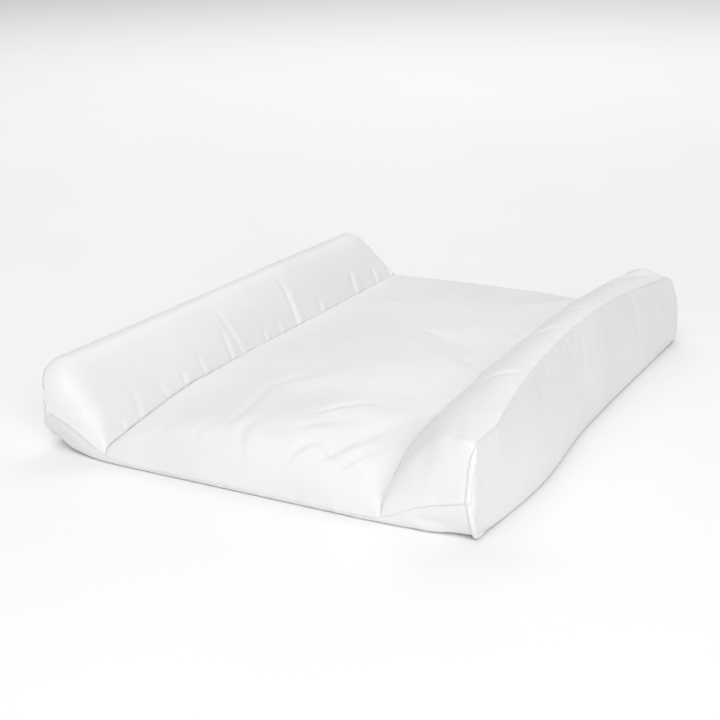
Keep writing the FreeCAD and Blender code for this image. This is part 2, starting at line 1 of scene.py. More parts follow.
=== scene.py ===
"""Looks for the two-wedge changing pad: a sewn, coated white cover over foam bolsters and a soft middle.

Everything is in metres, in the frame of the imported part: +X to the right bolster, +Y to the back end, +Z up.
The top of the cover is one grid of fabric, shaped by the section and end curves below and let go slack by a
cloth simulation. Its folds, seam puckers and seam grooves are pressed in afterwards, and then it is parted
into its sewn panels. The gussets and the bottom panel start from the edges of that grid, so all seams meet.
"""

import math

import bpy
import numpy as np
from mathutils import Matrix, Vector


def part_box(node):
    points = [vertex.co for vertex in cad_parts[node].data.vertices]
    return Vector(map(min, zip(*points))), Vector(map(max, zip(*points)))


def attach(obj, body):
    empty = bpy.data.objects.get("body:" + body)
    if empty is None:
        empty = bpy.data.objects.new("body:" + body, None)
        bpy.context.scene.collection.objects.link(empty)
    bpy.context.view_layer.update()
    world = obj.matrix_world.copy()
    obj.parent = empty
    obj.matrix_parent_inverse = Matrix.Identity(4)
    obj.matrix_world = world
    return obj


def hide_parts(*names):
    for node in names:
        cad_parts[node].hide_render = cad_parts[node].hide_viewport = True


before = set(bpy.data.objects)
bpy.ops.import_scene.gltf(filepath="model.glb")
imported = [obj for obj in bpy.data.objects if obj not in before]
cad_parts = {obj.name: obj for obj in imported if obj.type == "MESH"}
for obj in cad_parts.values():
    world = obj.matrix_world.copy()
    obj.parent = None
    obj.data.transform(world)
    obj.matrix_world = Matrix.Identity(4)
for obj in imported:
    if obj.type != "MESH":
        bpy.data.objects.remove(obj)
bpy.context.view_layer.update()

MM = 0.001

# ---------- sizes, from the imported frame
HALF_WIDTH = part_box("right_side_gusset")[1].x
FRONT_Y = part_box("centre_top_panel")[0].y
BACK_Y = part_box("centre_top_panel")[1].y
TOP_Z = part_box("right_side_gusset")[1].z
CREASE_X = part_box("centre_top_panel")[1].x
CREASE_Z = 0.4 * TOP_Z
FABRIC = HALF_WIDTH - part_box("right_side_gusset")[0].x
ZIP_Z = (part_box("zip_slider")[0].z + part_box("zip_slider")[1].z) / 2
ZIP_SLOT = 5 * MM
ZIP_UPPER_EDGE = ZIP_Z + ZIP_SLOT
ZIP_LOWER_EDGE = ZIP_Z - ZIP_SLOT

# ---------- the cloth grid
CENTRE_COLUMNS = 74
BOLSTER_COLUMNS = 25
ROWS = 182
FINER = 2
LEFT_CREASE = BOLSTER_COLUMNS
RIGHT_CREASE = BOLSTER_COLUMNS + CENTRE_COLUMNS
LAST_COLUMN = 2 * BOLSTER_COLUMNS + CENTRE_COLUMNS


def smooth(t):
    """0 below 0, 1 above 1, and an S-curve between."""
    t = np.clip(t, 0, 1)
    return t * t * (3 - 2 * t)


def quarter_wave(t):
    """0 below 0, 1 above 1, and between them a sine curve that starts at once and ends level."""
    return np.sin(np.pi / 2 * np.clip(t, 0, 1))


def bell(distance, width):
    """1 at no distance, and falling off to both sides over about a width."""
    return np.exp(-((distance / width) ** 2))


# ---------- the pad's main curves
CORNER_RADII = {
    ("front", -1): 13 * MM,
    ("front", 1): 4 * MM,
    ("back", -1): 2.5 * MM,
    ("back", 1): 2.5 * MM,
}
PULL_Y = 45 * MM
PULL_FRONT = 335 * MM
PULL_BACK = 330 * MM
DROOP_START = 110 * MM


def pulled_in(y):
    """1 where a bolster's top is drawn in the most, just behind mid-length, and 0 near its ends."""
    reach = np.where(y < PULL_Y, PULL_FRONT, PULL_BACK)
    return 1 - np.clip((y - PULL_Y) / reach, -1, 1) ** 2


def corner_turn(side, y):
    """How far the vertical corners have turned away from the side wall at y, near either end."""
    turned = 0
    for end, from_end in (("front", y - FRONT_Y), ("back", BACK_Y - y)):
        radius = CORNER_RADII[end, side]
        inside = np.clip(radius - from_end, 0, radius)
        turned = turned + radius - np.sqrt(radius**2 - inside**2)
    return turned


def back_droop(y):
    """0 along the pad, growing towards 1 at the back end."""
    return smooth((y - DROOP_START) / (BACK_Y - DROOP_START))


# Of each bolster's top seam: how far it is set in, how far it is drawn in at mid-length, how far below the
# top it lies, how much it rises at mid-length and how much it droops at the back.
TOP_SEAMS = {
    -1: (1.5 * MM, 5 * MM, 5 * MM, 1 * MM, 2.5 * MM),
    1: (0.5 * MM, 32 * MM, 2.5 * MM, 6 * MM, 9 * MM),
}
# Of each bolster's ridge: its distance from the middle at the front, its rise at mid-length and its droop.
RIDGES = {-1: (232 * MM, 1 * MM, 3 * MM), 1: (228 * MM, 4 * MM, 1 * MM)}
RIDGE_PROUD = 1 * MM


def top_seam(side, y):
    """Distance of the top seam from the middle, and its height. The right bolster is drawn in by its cover,
    and droops towards the back."""
    inset, drawn_in, below, rise, droop = TOP_SEAMS[side]
    pull = pulled_in(y)
    height = TOP_Z - below + rise * pull - droop * back_droop(y)
    return HALF_WIDTH - inset - drawn_in * pull - corner_turn(side, y), height


def shoulder(side, y):
    """Where the slope meets the ridge: distance from the middle, and height. The right ridge is drawn in fast
    behind the front end and then slowly, and comes out again at the back end."""
    out, rise, droop = RIDGES[side]
    height = TOP_Z + RIDGE_PROUD + rise * pulled_in(y) - droop * back_droop(y)
    if side < 0:
        return out + 0 * y, height
    from_front = y - FRONT_Y
    drawn = 22 * MM * (1 - np.exp(-np.maximum(from_front, 0) / (60 * MM)))
    drawn = drawn + 20 * MM * quarter_wave(from_front / (480 * MM)) - 14 * MM * back_droop(y)
    return out - drawn - 0.6 * corner_turn(side, y), height


def crease_distance(side, y):
    """Distance of a crease from the middle. The right one wanders inwards, under its drawn-in bolster."""
    if side < 0:
        return CREASE_X + 0 * y
    return CREASE_X - 9 * MM - 23 * MM * quarter_wave((y - FRONT_Y) / (265 * MM))


def crease_height(y):
    """The crease runs level and sinks towards the front end."""
    return CREASE_Z - 1 * MM - 22 * MM * np.clip((-180 * MM - y) / (168 * MM), 0, 1) ** 1.3


# Height in millimetres of the front end seam over its distance from the middle: it runs low along the middle
# and climbs towards both corners.
END_SEAM = {
    -1: ([0, 150, 168, 193, 215, 235, 250], [4.5, 4.5, 9, 24, 36, 43, 45]),
    1: ([0, 145, 168, 188, 210, 235, 250], [4.5, 4.5, 11, 23, 29.5, 36.5, 40]),
}


def end_seam_height(x):
    reach, high = END_SEAM[-1 if x < 0 else 1]
    around = [np.interp(abs(x) / MM + step, reach, high) for step in (-8, -4, 0, 4, 8)]
    return np.mean(around) * MM


def bolster_point(side, t, y):
    """Distance from the middle and height on a bolster, at t from its crease, 0, to its top seam, 1. Near its
    front end the right bolster has a rounder ridge and a fuller slope."""
    crease = np.array([crease_distance(side, y), crease_height(y)])
    ridge = np.array(shoulder(side, y))
    seam = np.array(top_seam(side, y))
    slope_long = np.hypot(*(ridge - crease))
    ridge_long = np.hypot(*(seam - ridge))
    along = t * (slope_long + ridge_long)
    near_front = smooth((-170 * MM - y) / (110 * MM)) if side > 0 else 0 * y
    rounding = np.minimum((15 + 9 * near_front) * MM, 0.85 * ridge_long)
    on_slope = crease + (ridge - crease) * np.minimum(along / slope_long, 1)
    on_ridge = ridge + (seam - ridge) * np.clip((along - slope_long) / ridge_long, 0, 1)
    point = np.where(along < slope_long, on_slope, on_ridge)
    # A quadratic curve replaces the corner for one rounding's length on each side of it.
    s = np.clip((along - slope_long + rounding) / (2 * rounding), 0, 1)
    before = ridge + (crease - ridge) * rounding / slope_long
    after = ridge + (seam - ridge) * rounding / ridge_long
    curve = (1 - s) ** 2 * before + 2 * s * (1 - s) * ridge + s**2 * after
    point = np.where((s > 0) & (s < 1), curve, point)
    full = (5 + 7 * near_front) * MM * (1 - 0.8 * smooth((y - 250 * MM) / (90 * MM)))
    puff = full * np.sin(np.pi * np.clip(along / slope_long, 0, 1)) ** 0.7
    lean = (ridge - crease) / slope_long
    return point[0] - lean[1] * puff, point[1] + lean[0] * puff


def centre_height(x, y):
    """Top of the middle: a soft crown, fuller towards the front end, where the creases sink."""
    across = 1 - np.abs(x / np.where(x < 0, CREASE_X, crease_distance(1, y))) ** 3.2
    lower_back = 3 * MM * smooth((y - 180 * MM) / (150 * MM))
    fuller_front = 15 * MM * smooth((-170 * MM - y) / (150 * MM))
    crown = 8 * MM - lower_back + fuller_front
    return crease_height(y) + crown * across


def column_surface(column, y):
    """X and Z of one column of the top cover over y, before the ends are turned down. Columns run from the
    left top seam to the right one."""
    if column <= LEFT_CREASE:
        x, z = bolster_point(-1, (LEFT_CREASE - column) / BOLSTER_COLUMNS, y)
        return -x, z
    if column >= RIGHT_CREASE:
        return bolster_point(1, (column - RIGHT_CREASE) / BOLSTER_COLUMNS, y)
    share = (column - LEFT_CREASE) / CENTRE_COLUMNS
    x = -CREASE_X * (1 - share) + crease_distance(1, y) * share
    return x, centre_height(x, y)


# Depth in millimetres of the turn at an end: at the crease, half-way up the slope and at the top seam. Last,
# how much squarer than an ellipse it is at the top seam.
TURNS = {
    ("front", -1): (9, 32, 38, 0.6),
    ("front", 1): (14, 20, 14, 1.8),
    ("back", -1): (6, 7, 11, 0.6),
    ("back", 1): (8, 18, 32, 0.6),
}
MIDDLE_TURN = {"front": 36 * MM, "back": 12 * MM}


def turn_shape(end, column):
    """Depth of a column's turn over an end, and its squareness: 2 is an ellipse, and more is boxier."""
    side = -1 if column < (LEFT_CREASE + RIGHT_CREASE) / 2 else 1
    up = (LEFT_CREASE - column if side < 0 else column - RIGHT_CREASE) / BOLSTER_COLUMNS
    *depths, square = TURNS[end, side]
    crease, half, top = (MM * depth for depth in depths)
    if up >= 0:
        depth = crease + (half - crease) * smooth(up / 0.4) + (top - half) * smooth((up - 0.45) / 0.5)
        return depth, 2 + square * smooth((up - 0.55) / 0.4)
    inward = -up * BOLSTER_COLUMNS / CENTRE_COLUMNS * 2 * CREASE_X
    return crease + (MIDDLE_TURN[end] - crease) * smooth(inward / (55 * MM)), 2


def end_turn(column, end):
    """One column's way over an end, from the end's seam up to the top."""
    end_y, inward = (FRONT_Y, 1) if end == "front" else (BACK_Y, -1)
    depth, boxy = turn_shape(end, column)
    edge_x, _ = column_surface(column, np.float64(end_y))
    low = end_seam_height(edge_x) if end == "front" else ZIP_UPPER_EDGE
    angle = np.linspace(0, np.pi / 2, 40)
    y = end_y + inward * depth * (1 - np.cos(angle) ** (2 / boxy))
    x, top = column_surface(column, y)
    rise = np.sin(angle) ** (2 / boxy)
    beyond = max(LEFT_CREASE - column, column - RIGHT_CREASE) / BOLSTER_COLUMNS
    if end == "back" and beyond > 0:
        # The lower corners of the back end reach out as far as the zip's tapes.
        side = np.sign(edge_x)
        x = x + side * (HALF_WIDTH - 0.5 * MM - top_seam(side, end_y)[0]) * beyond**2 * (1 - rise)
    return np.stack([x, y, low + (top - low) * rise], axis=1)


def length_along(points):
    """How far along a polyline each of its points is."""
    steps = np.linalg.norm(np.diff(points, axis=0), axis=1)
    return np.concatenate([[0], np.cumsum(steps)])


def resample(points, count, crowd=0.0):
    """A polyline's points spread along its length: evenly, or crowded towards both of its ends."""
    length = length_along(points)
    share = np.linspace(0, 1, count)
    at = length[-1] * (share - crowd * np.sin(2 * np.pi * share) / (2 * np.pi))
    return np.stack([np.interp(at, length, points[:, k]) for k in range(points.shape[1])], axis=1)


def column_path(column):
    """One column from the front end seam over the top to the zip's upper edge."""
    front = end_turn(column, "front")
    back = end_turn(column, "back")[::-1]
    y = np.linspace(front[-1, 1], back[0, 1], 300)[1:-1]
    x, z = column_surface(column, y)
    return resample(np.concatenate([front, np.stack([x, y, z], axis=1), back]), ROWS)


def top_cover_grid():
    """The whole top cover as a grid of points: columns by rows by 3."""
    return np.stack([column_path(i) for i in range(LAST_COLUMN + 1)])


# ---------- meshes from grids


def grid_faces(columns, rows, flip=False, closed=False):
    index = np.arange(columns * rows).reshape(columns, rows)
    if closed:
        index = np.concatenate([index, index[:, :1]], axis=1)
    quads = np.stack([index[:-1, :-1], index[1:, :-1], index[1:, 1:], index[:-1, 1:]], axis=-1).reshape(-1, 4)
    return (quads[:, ::-1] if flip else quads).tolist()


def mesh_object(name, points, faces):
    mesh = bpy.data.meshes.new(name)
    mesh.from_pydata(np.asarray(points, float).tolist(), [], faces)
    mesh.update()
    mesh.shade_smooth()
    piece = bpy.data.objects.new(name, mesh)
    bpy.context.scene.collection.objects.link(piece)
    return piece


def grid_object(name, grid, flip=False):
    return mesh_object(name, grid.reshape(-1, 3), grid_faces(*grid.shape[:2], flip))


def tube_faces(rings, sides, flip=False):
    """Faces of a closed form through rings of points, with a flat face on each end."""
    first = list(range(sides))
    last = [(rings - 1) * sides + i for i in first]
    caps = [first, last[::-1]] if flip else [first[::-1], last]
    return grid_faces(rings, sides, flip, closed=True) + caps


def tube_object(name, loops, flip=False):
    return mesh_object(name, loops.reshape(-1, 3), tube_faces(*loops.shape[:2], flip))


def apply_modifier(piece, name):
    bpy.context.view_layer.objects.active = piece
    piece.select_set(True)
    bpy.ops.object.modifier_apply(modifier=name)
    piece.select_set(False)


def finer(grid):
    """More points between a grid's own, on a smooth curve along both of its ways."""
    for axis in (0, 1):
        grid = np.moveaxis(grid, axis, 0)
        padded = np.concatenate([2 * grid[:1] - grid[1:2], grid, 2 * grid[-1:] - grid[-2:-1]])
        at = np.arange((len(grid) - 1) * FINER + 1) / FINER
        i = np.minimum(at.astype(int), len(grid) - 2)
        u = (at - i).reshape(-1, *([1] * (grid.ndim - 1)))
        p0, p1, p2, p3 = (padded[i + k] for k in range(4))
        into = (p2 - p0) / 2
        out = (p3 - p1) / 2
        grid = (2 * u**3 - 3 * u**2 + 1) * p1 + (u**3 - 2 * u**2 + u) * into
        grid = grid + (3 * u**2 - 2 * u**3) * p2 + (u**3 - u**2) * out
        grid = np.moveaxis(grid, 0, axis)
    return grid


def normals(grid):
    normal = np.cross(np.gradient(grid, axis=0), np.gradient(grid, axis=1))
    return normal / np.maximum(np.linalg.norm(normal, axis=-1, keepdims=True), 1e-12)


def shell(piece, thick=FABRIC):
    """Gives a single sheet its thickness, inwards."""
    modifier = piece.modifiers.new("thickness", "SOLIDIFY")
    modifier.thickness = thick
    modifier.offset = -1
    apply_modifier(piece, "thickness")
    piece.data.shade_smooth()
    return piece


def dress(piece, material, node):
    """Gives a piece its material and puts it in the place of a node of the frame, on the pad's body."""
    piece.data.materials.append(material)
    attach(piece, "pad")
    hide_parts(node)


# ---------- folds and puckers
# A fold is a line of points, its depth and its width, all in millimetres. The cloth dips along the line and
# stands proud on its right-hand side. On the middle the points are (x, y). On a bolster they are (share of
# the slope, y), from the crease, 0, to the ridge, 1.
CENTRE_FOLDS = [
    ([(-38, -338), (-46, -303), (-53, -245), (-66, -182), (-55, -150), (-36, -122), (-38, -70)], 1.7, 6),
    ([(4, -346), (-12, -330), (-25, -300), (-24, -262)], 1.9, 5),
    ([(43, -348), (45, -325), (48, -304), (64, -272)], 1.9, 5),
    ([(95, -348), (98, -330), (102, -300), (112, -250)], 1.8, 5),
    ([(60, -346), (78, -314), (86, -262), (98, -220), (108, -190), (130, -160)], 1.9, 7),
    ([(18, -240), (34, -202), (50, -180), (76, -164)], 1.6, 5),
    ([(20, -285), (40, -252), (70, -214)], 1.1, 8),
    ([(-2, 80), (20, 72), (44, 54), (66, 18)], 1.6, 8),
    ([(66, 30), (84, 2), (132, -14)], 1.1, 9),
    ([(-158, 37), (-132, 60), (-108, 53), (-76, 34)], 1.5, 7),
    ([(-63, -350), (-70, -318), (-60, -280)], 1.2, 6),
    ([(-116, -338), (-112, -300), (-106, -252)], 1.1, 8),
    ([(-152, -176), (-126, -190), (-96, -226)], 1.0, 8),
    ([(-152, 190), (-118, 205), (-64, 196)], 1.1, 9),
    ([(134, 110), (104, 132), (66, 180)], 1.1, 9),
    ([(20, 200), (-20, 232), (-76, 252)], 0.9, 11),
    ([(-20, -20), (-44, 12), (-80, 20)], 0.8, 11),
]
# Broad, soft dents in the middle: place (x, y), size along both ways, the turn of its long way and its depth.
CENTRE_DENTS = [
    ((-18, -190), (85, 34), 65, 2.6),
    ((92, -262), (75, 26), 62, 2.8),
    ((48, -150), (80, 40), 30, 1.8),
    ((72, 40), (60, 34), -40, 2.2),
    ((-70, 120), (90, 50), 10, 2.0),
    ((90, 210), (80, 50), 30, 1.8),
]
SLOPE_FOLDS = {
    -1: [
        ([(0.30, -237), (0.0, -232)], 1.2, 7),
        ([(0.22, -190), (0.0, -199)], 1.8, 6),
        ([(0.95, -66), (0.59, -69), (0.0, -75)], 1.5, 6),
        ([(0.50, -85), (0.22, -93), (0.0, -99)], 1.9, 5),
        ([(0.25, -13), (0.0, -21)], 1.7, 5),
        ([(0.95, 84), (0.61, 80), (0.30, 68), (0.0, 57)], 2.2, 7),
        ([(0.48, 246), (0.24, 229), (0.0, 219)], 1.8, 6),
        ([(0.36, 298), (0.0, 284)], 1.5, 6),
        ([(0.26, 340), (0.0, 326)], 1.3, 6),
        ([(0.35, -150), (0.0, -158)], 0.9, 6),
        ([(0.42, -272), (0.0, -284)], 0.9, 8),
        ([(0.18, -310), (0.0, -314)], 1.1, 6),
        ([(0.3, 130), (0.0, 122)], 1.1, 8),
        ([(0.25, 22), (0.0, 14)], 1.1, 6),
    ],
    1: [
        ([(1.25, -150), (0.80, -172)], 0.9, 10),
        ([(1.25, 14), (0.78, -16)], 0.9, 11),
        ([(1.2, 96), (0.85, 84)], 0.7, 10),
        ([(0.85, -96), (0.4, -104), (0.0, -92)], 2.0, 8),
        ([(0.35, 36), (0.0, 44)], 1.8, 7),
        ([(0.8, 150), (0.4, 142), (0.0, 128)], 2.0, 8),
        ([(0.3, 222), (0.0, 231)], 1.6, 7),
        ([(0.45, -190), (0.0, -160)], 1.8, 7),
    ],
}
# Length of a bolster's slope in millimetres, and its share of the way from the crease to the top seam.
SLOPE_LONG = 88
SLOPE_SHARE = 0.79


def from_line(points, across, along):
    """Distance of each place from a line, positive on its right, and how far along the line it is, 0 to 1."""
    points = np.asarray(points, float)
    lengths = np.linalg.norm(np.diff(points, axis=0), axis=1)
    start = np.concatenate([[0], np.cumsum(lengths)])
    nearest = np.full(across.shape, np.inf)
    signed = np.zeros(across.shape)
    share = np.zeros(across.shape)
    for k, long in enumerate(lengths):
        way = (points[k + 1] - points[k]) / long
        dx = across - points[k][0]
        dy = along - points[k][1]
        reach = np.clip(dx * way[0] + dy * way[1], 0, long)
        distance = np.hypot(dx - reach * way[0], dy - reach * way[1])
        nearer = distance < nearest
        nearest = np.where(nearer, distance, nearest)
        signed = np.where(nearer, distance * np.sign(dx * way[1] - dy * way[0] + 1e-9), signed)
        share = np.where(nearer, (start[k] + reach) / start[-1], share)
    return signed, share


def fold_height(folds, across, along, from_seam=False):
    """Height of all the folds, in metres. Folds that start at a seam are deepest at the end of their line."""
    total = np.zeros(across.shape)
    for points, depth, width in folds:
        signed, share = from_line(points, across, along)
        fade = smooth(share * 2) if from_seam else 1.05 * smooth(share * 3) * (1 - share) ** 0.7
        wide = width * (1.1 - 0.3 * share if from_seam else 1.1 + 1.5 * share)
        right = np.maximum(signed, 0) / wide
        left = np.maximum(-signed, 0) / wide
        valley = 0.9 * bell(signed, 0.6 * wide)
        crest = 1.9 * (1 - bell(right, 0.9)) * np.exp(-right / 1.6)
        bank = 0.35 * (1 - bell(left, 0.8)) * np.exp(-left / 1.3)
        total += depth * fade * (crest + bank - valley)
    return total * MM


def dent_height(dents, across, along):
    """Height of all the dents, in metres."""
    total = np.zeros(across.shape)
    for (x, y), (long, wide), turn, depth in dents:
        turn = math.radians(turn)
        along_dent = (across - x) * math.cos(turn) + (along - y) * math.sin(turn)
        beside_dent = (along - y) * math.cos(turn) - (across - x) * math.sin(turn)
        total -= depth * bell(along_dent, long) * bell(beside_dent, wide)
    return total * MM


def puckers(chance, along, distance, spacing, height, reach):
    """Small gathers that run off a seam. along and distance are millimetres along the seam and from it."""
    low, high = along.min(), along.max()
    total = np.zeros(np.broadcast(along, distance).shape)
    place = low
    while place < high:
        wide = chance.uniform(1.6, 4.5)
        size = height * chance.uniform(0.3, 1.0) * chance.choice([-1, -1, 1])
        far = reach * chance.uniform(0.4, 1.6)
        skew = chance.uniform(-0.35, 0.35)
        off = (along - place - skew * distance) / (wide * (1 + distance / (2 * far)))
        total += size * np.exp(-(off**2)) * np.exp(-((distance / far) ** 1.5))
        place += spacing * chance.uniform(0.4, 1.7)
    return total * MM


def away_along(grid, axis, from_start=True):
    """Distance in millimetres of each point from the first or last point of its row or column."""
    step = np.linalg.norm(np.diff(grid, axis=axis), axis=-1)
    shape = list(grid.shape[:2])
    shape[axis] = 1
    total = np.concatenate([np.zeros(shape), np.cumsum(step, axis=axis)], axis=axis) / MM
    if from_start:
        return total
    return np.take(total, [-1], axis=axis) - total


def crease_sharpness(side, y):
    """How sharp a crease is over y, 0 to 1. The left one softens towards the back, the right one at once."""
    if side < 0:
        return 0.28 - 0.1 * smooth((y + 130 * MM) / (120 * MM))
    return 0.35 * smooth((-265 * MM - y) / (60 * MM))


def detailed(grid):
    """The fine top cover: folds, puckers along the seams, and the grooves in which the seams lie."""
    left = slice(0, LEFT_CREASE * FINER + 1)
    right = slice(RIGHT_CREASE * FINER, None)
    centre = slice(LEFT_CREASE * FINER, RIGHT_CREASE * FINER + 1)
    x, y = grid[..., 0] / MM, grid[..., 1] / MM
    height = np.zeros(x.shape)
    from_front = away_along(grid, 1)
    on_nose = smooth((from_front[centre] - 18) / 40)
    height[centre] += fold_height(CENTRE_FOLDS, x[centre], y[centre]) * on_nose
    height[centre] += dent_height(CENTRE_DENTS, x[centre], y[centre]) * on_nose
    chance = np.random.default_rng(11)
    share = np.linspace(0, 1, BOLSTER_COLUMNS * FINER + 1)[:, None] / SLOPE_SHARE
    for side, part in ((-1, left), (1, right)):
        up = (share[::-1] if side < 0 else share) + 0 * y[part]
        lines = [
            ([(p * SLOPE_LONG, q) for p, q in line], depth, width)
            for line, depth, width in SLOPE_FOLDS[side]
        ]
        height[part] += fold_height(lines, up * SLOPE_LONG, y[part], from_seam=True)
        from_crease = away_along(grid[part], 0, side > 0)
        from_top = away_along(grid[part], 0, side < 0)
        from_middle = away_along(grid[centre], 0, side < 0)
        height[part] += puckers(chance, y[part], from_crease, 17, 0.9, 11)
        height[part] += puckers(chance, y[part], from_top, 15, 0.5, 8)
        height[centre] += puckers(chance, y[centre], from_middle, 19, 0.8, 12)
        sharp = MM * crease_sharpness(side, y * MM)
        if side > 0:
            # The right crease ends above the front seam.
            sharp = sharp * smooth((from_front - 14) / 12)
        height[part] -= sharp[part] * np.exp(-from_crease / 2)
        height[centre] -= sharp[centre] * np.exp(-from_middle / 2)
        line = (LEFT_CREASE if side < 0 else RIGHT_CREASE) * FINER
        height[line] = -sharp[line]
    height += puckers(chance, x, from_front, 16, 0.7, 10)
    # Towards both corners the cloth stands proud as a lip over the front seam.
    lip = smooth((np.abs(x) - 172) / 25) * np.where(x < 0, 1.7, 0.9) * MM
    height += lip * (bell(from_front - 4, 3) - 0.7 * bell(from_front, 1.5))
    # The end face stands back a little beside the rolled seam at its corner.
    on_end = smooth((FRONT_Y + 13 * MM - grid[right, :, 1]) / (6 * MM))
    height[right] -= 1.6 * MM * on_end * bell(away_along(grid[right], 0, False), 3)
    # The edge along the zip stays straight.
    height *= smooth(away_along(grid, 1, False) / 8)
    return grid + normals(grid) * height[..., None]


# ---------- cloth
CLOTH = {
    "quality": 6,
    "mass": 0.25,
    "air_damping": 1.5,
    "bending_model": "ANGULAR",
    "tension_stiffness": 25,
    "compression_stiffness": 25,
    "shear_stiffness": 8,
    "bending_stiffness": 0.25,
    "tension_damping": 6,
    "compression_damping": 6,
    "shear_damping": 6,
    "bending_damping": 0.5,
    "vertex_group_mass": "hold",
    "pin_stiffness": 1.0,
    "use_pressure": True,
}


def simulate(piece, hold, slack, pressure, frames, cap):
    """Lets a sheet settle. It is cut larger than its place by slack along x, y and z, blown out a little from
    below, held by a weight per point, 1 at the seams, and kept within cap of its place."""
    start = np.array([v.co for v in piece.data.vertices])
    group = piece.vertex_groups.new(name="hold")
    for weight in np.unique(hold):
        group.add(np.nonzero(hold == weight)[0].tolist(), float(weight), "REPLACE")
    piece.shape_key_add(name="Basis")
    cut = piece.shape_key_add(name="cut")
    cut.data.foreach_set("co", (start * (1 + np.asarray(slack))).ravel())
    cloth = piece.modifiers.new("Cloth", "CLOTH")
    settings = cloth.settings
    for name, value in CLOTH.items():
        setattr(settings, name, value)
    settings.uniform_pressure_force = pressure
    settings.rest_shape_key = cut
    settings.effector_weights.gravity = 0
    cloth.collision_settings.use_collision = False
    cloth.point_cache.frame_start = 1
    cloth.point_cache.frame_end = frames
    scene = bpy.context.scene
    for number in range(1, frames + 1):
        scene.frame_set(number)
    settled = piece.evaluated_get(bpy.context.evaluated_depsgraph_get()).to_mesh()
    moved = np.array([v.co for v in settled.vertices]) - start
    piece.modifiers.remove(cloth)
    scene.frame_set(1)
    far = np.linalg.norm(moved, axis=1, keepdims=True)
    return start + moved * np.minimum(1, cap / np.maximum(far, 1e-9))


def softened(grid, column, reach, rounds, sharp_until):
    """Rounds a crease off into a soft valley, except near the front end, where it stays sharp."""
    amount = 0.5 * smooth((grid[column, :, 1] - sharp_until) / (90 * MM))[None, :, None]
    part = slice(column - reach, column + reach + 1)
    for _ in range(rounds):
        near = grid[part].copy()
        near[1:-1] += amount * ((near[:-2] + near[2:]) / 2 - near[1:-1])
        grid[part] = near
    return grid


def settled_top(grid):
    """The top cover after simulation, fixed along its seams and creases and lightly held by its filling."""
    hold = np.full(grid.shape[:2], 0.03)
    hold[:LEFT_CREASE] = 0.12
    hold[[0, LEFT_CREASE, RIGHT_CREASE, -1]] = 1
    hold[:, [0, -1]] = 1
    cloth = grid_object("top_cloth", grid)
    points = simulate(cloth, hold.ravel(), (0.02, 0.03, 0.015), 3, 24, 7 * MM)
    bpy.data.objects.remove(cloth)
    return points.reshape(grid.shape)


# ---------- materials


def set_inputs(node, **values):
    """Gives plain values to a node's inputs, by their names."""
    for name, value in values.items():
        node.inputs[name.replace("_", " ")].default_value = value


def new_material(name, **values):
    """A material and its shader, with the shader's uniform values."""
    material = bpy.data.materials.new(name)
    material.use_nodes = True
    shader = material.node_tree.nodes["Principled BSDF"]
    set_inputs(shader, **values)
    return material, shader


def new_node(shader, kind, **values):
    """Another node in a shader's tree."""
    node = shader.id_data.nodes.new(kind)
    set_inputs(node, **values)
    return node


def connect(start, end):
    start.id_data.links.new(start, end)


def place_on_piece(shader):
    return new_node(shader, "ShaderNodeTexCoord").outputs["Object"]


def noise(shader, per_metre, detail=2.0, stretch=None):
    """A noise in the piece's own coordinates."""
    place = place_on_piece(shader)
    if stretch:
        mapping = new_node(shader, "ShaderNodeMapping", Scale=stretch)
        connect(place, mapping.inputs["Vector"])
        place = mapping.outputs["Vector"]
    texture = new_node(shader, "ShaderNodeTexNoise", Scale=per_metre, Detail=detail)
    connect(place, texture.inputs["Vector"])
    return texture.outputs["Fac"]


def tint(shader, value, low, high):
    """Colours a shader from low to high over a value."""
    ramp = new_node(shader, "ShaderNodeValToRGB")
    for element, place, colour in zip(ramp.color_ramp.elements, (0.35, 0.65), (low, high)):
        element.position = place
        element.color = (*colour, 1)
    connect(value, ramp.inputs["Fac"])
    connect(ramp.outputs["Color"], shader.inputs["Base Color"])


def vary_roughness(shader, value, low, high):
    node = new_node(shader, "ShaderNodeMapRange", To_Min=low, To_Max=high)
    connect(value, node.inputs["Value"])
    connect(node.outputs["Result"], shader.inputs["Roughness"])


def weave(shader, pitch):
    """Height of a plain weave with threads along all three axes, so that it shows on every face."""
    place = place_on_piece(shader)
    total = None
    for direction in ("X", "Y", "Z"):
        scale = math.pi / (10 * pitch)
        wave = new_node(shader, "ShaderNodeTexWave", Scale=scale, Distortion=0.6, Detail=1.0)
        wave.bands_direction = direction
        connect(place, wave.inputs["Vector"])
        if total is None:
            total = wave.outputs["Fac"]
            continue
        add = new_node(shader, "ShaderNodeMath")
        connect(total, add.inputs[0])
        connect(wave.outputs["Fac"], add.inputs[1])
        total = add.outputs["Value"]
    return total


def relief(shader, *heights):
    """Bump from (height, strength, depth) entries, the coarsest first."""
    normal = None
    for height, strength, depth in heights:
        bump = new_node(shader, "ShaderNodeBump", Strength=strength, Distance=depth)
        connect(height, bump.inputs["Height"])
        if normal:
            connect(normal, bump.inputs["Normal"])
        normal = bump.outputs["Normal"]
    connect(normal, shader.inputs["Normal"])


def grey(bright):
    """A neutral colour, very slightly warm."""
    return (bright, bright, bright - 0.01)


def coated_fabric(name, low, high, roughness):
    """White cloth with a wipe-clean coating: a faint weave under a satin surface that is a little uneven."""
    gloss = {"Sheen_Weight": 0.12, "Sheen_Roughness": 0.5, "Coat_Weight": 0.1, "Coat_Roughness": 0.4}
    material, shader = new_material(name, **gloss)
    tint(shader, noise(shader, 9, 4), low, high)
    vary_roughness(shader, noise(shader, 40, 3), roughness - 0.07, roughness + 0.07)
    relief(shader, (noise(shader, 130, 4), 0.2, 0.9 * MM), (weave(shader, 0.7 * MM), 0.15, 0.12 * MM))
    return material


